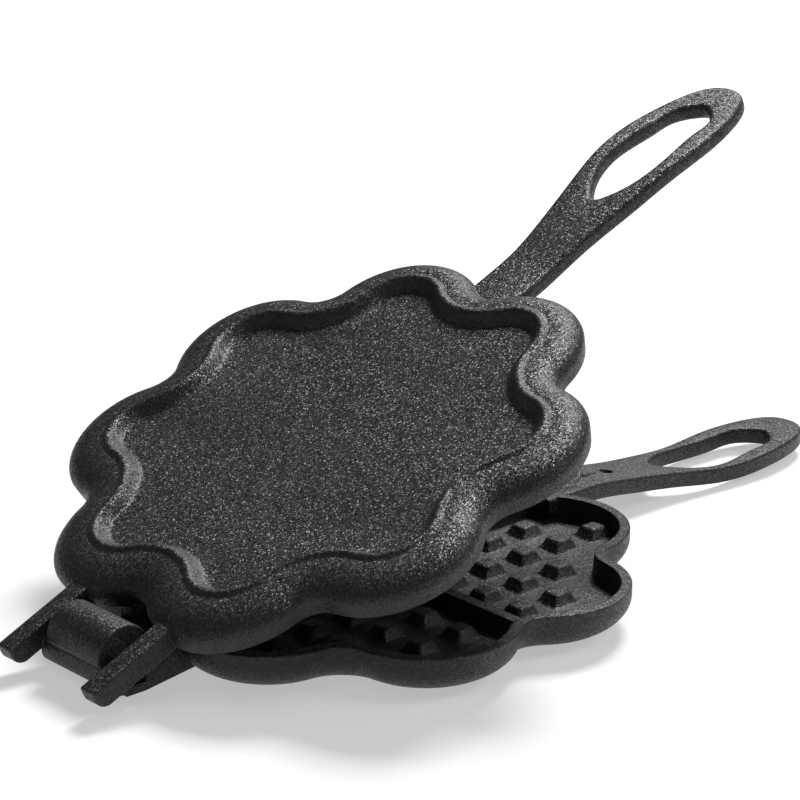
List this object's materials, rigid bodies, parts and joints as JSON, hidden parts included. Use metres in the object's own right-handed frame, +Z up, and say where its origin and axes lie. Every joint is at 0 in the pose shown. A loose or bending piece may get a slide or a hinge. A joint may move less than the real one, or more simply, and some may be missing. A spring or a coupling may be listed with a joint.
{
  "type": "stovetop waffle iron",
  "caption": "Two-part cast iron stovetop waffle iron with heart cavities, studs, eyed handles and a hook-and-bar hinge; lid propped open.",
  "frame": {"origin": "centre of the plate on the stove surface, under the middle of the cross between the hearts", "axes": "+X from the plate towards the handles, +Y to the left of the handles, +Z up out of the stove"},
  "size_m": [0.3443, 0.1802, 0.1446],
  "materials": {
    "seasoned_iron": "sand-cast, oil-seasoned, satin black with a fine sandy grain"
  },
  "bodies": {
    "base": {"base_dish": "seasoned_iron", "base_handle": "seasoned_iron", "base_hook": "seasoned_iron"},
    "lid": {"lid_plate": "seasoned_iron", "lid_handle": "seasoned_iron", "lid_fork": "seasoned_iron"}
  },
  "joints": [
    {"name": "lid_hinge", "type": "hinge", "parent": "base", "child": "lid", "pos_m": [-0.09369, 0, -0.0023], "axis": [0, -1, 0], "range_deg": [-23.5, 7.5]}
  ]
}
